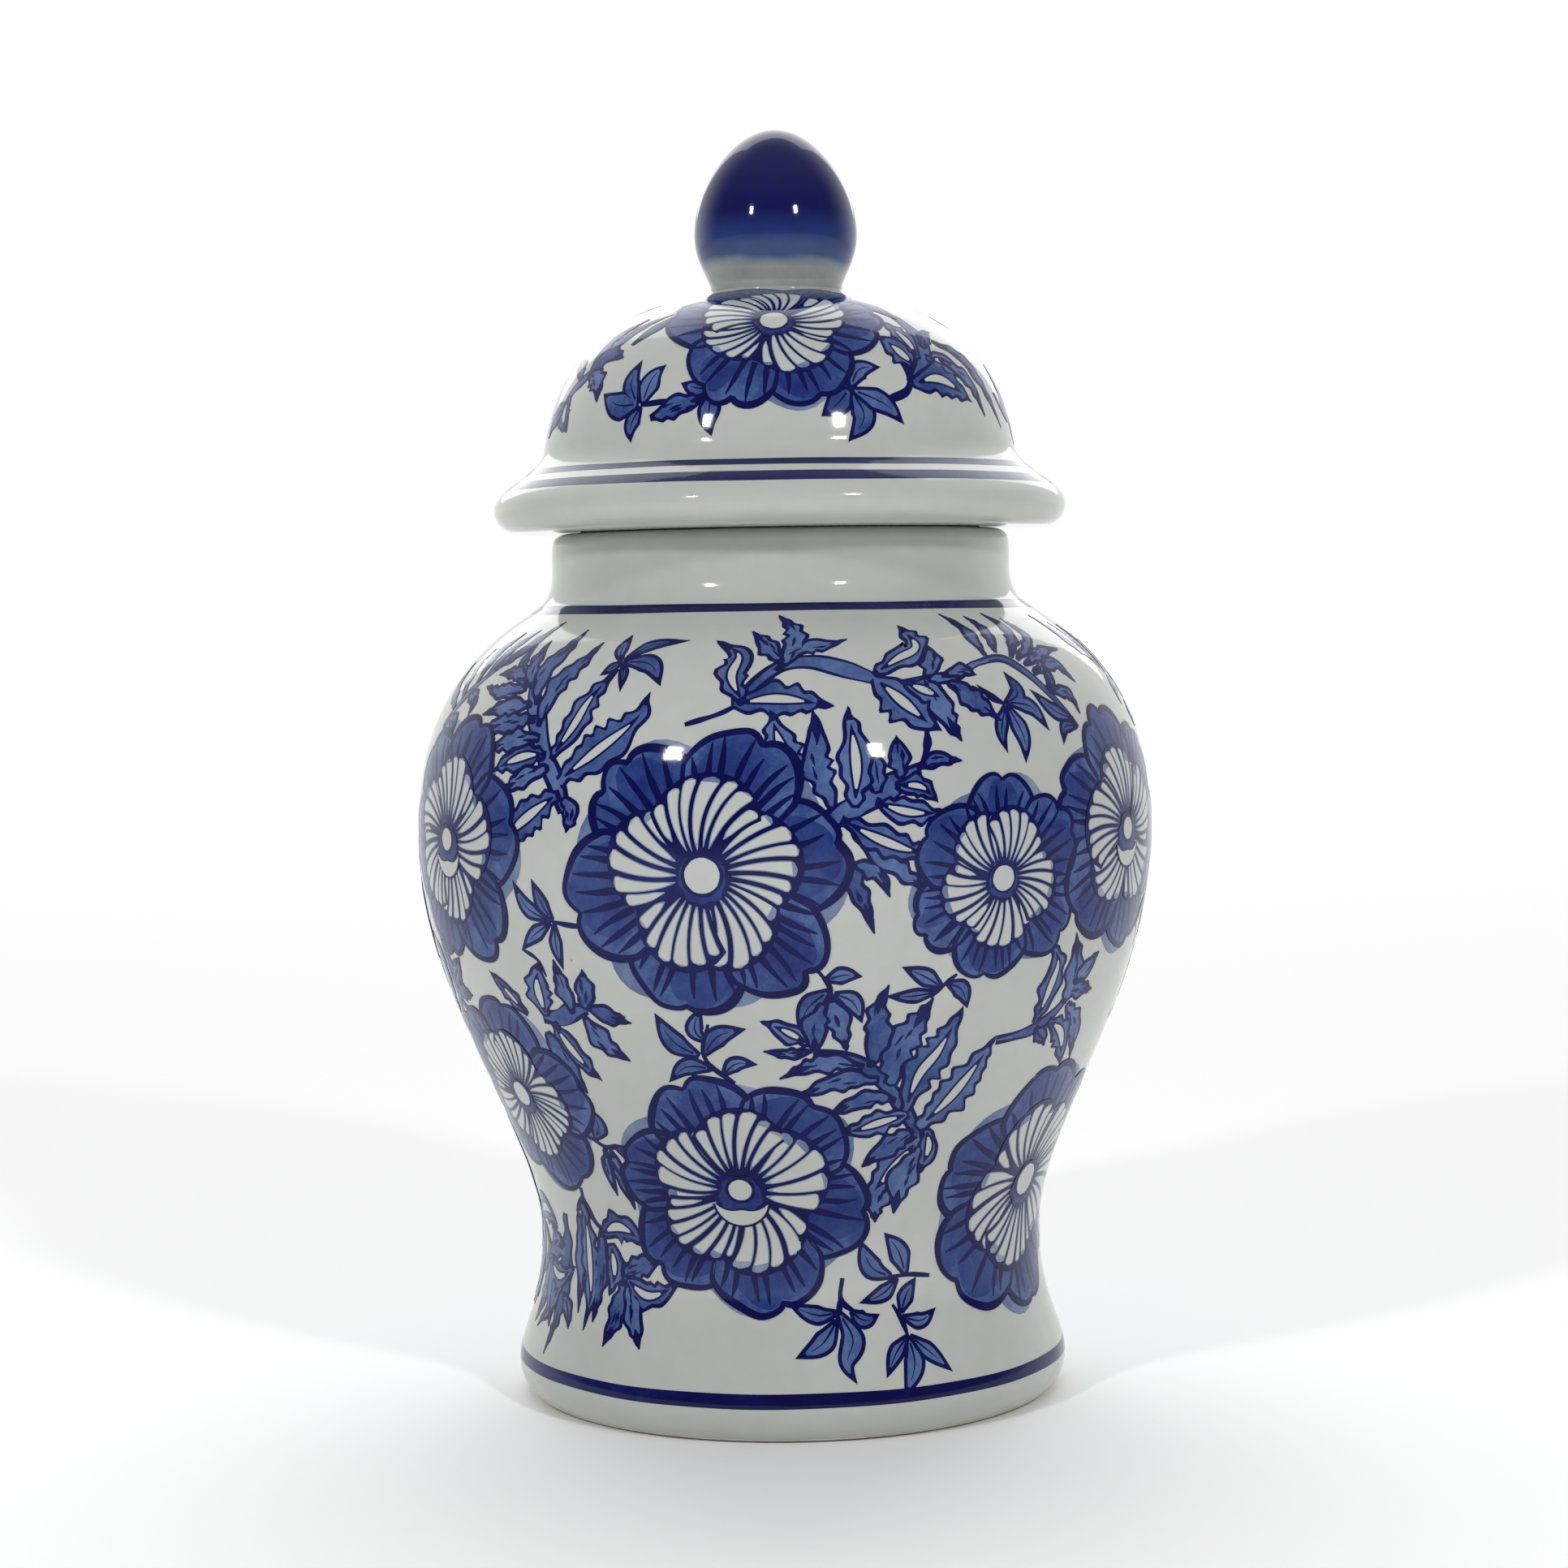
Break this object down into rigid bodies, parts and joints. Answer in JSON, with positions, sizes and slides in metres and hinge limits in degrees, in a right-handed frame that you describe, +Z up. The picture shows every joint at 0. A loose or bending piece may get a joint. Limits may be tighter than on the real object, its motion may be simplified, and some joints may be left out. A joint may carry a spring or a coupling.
{
  "type": "ginger jar",
  "caption": "Lidded baluster jar on a flared foot, with a domed lift-off lid, a wide rounded brim and an egg-shaped finial, painted blue on white.",
  "frame": {"origin": "middle of the foot, on the surface that the jar stands on", "axes": "+Z up along the jar's axis of revolution, towards the finial"},
  "size_m": [0.1486, 0.1486, 0.255],
  "materials": {
    "jar_body": "glossy glaze",
    "lid": "glossy glaze",
    "lid_ring": "unglazed biscuit",
    "finial": "glossy glaze"
  },
  "bodies": {
    "jar": {"jar_body": "jar_body"},
    "lid": {"lid": "lid", "lid_ring": "lid_ring", "finial": "finial"}
  },
  "joints": [
    {"name": "lid_lift", "type": "slide", "parent": "jar", "child": "lid", "axis": [0, 0, 1], "range_m": [0, 0.12]}
  ]
}
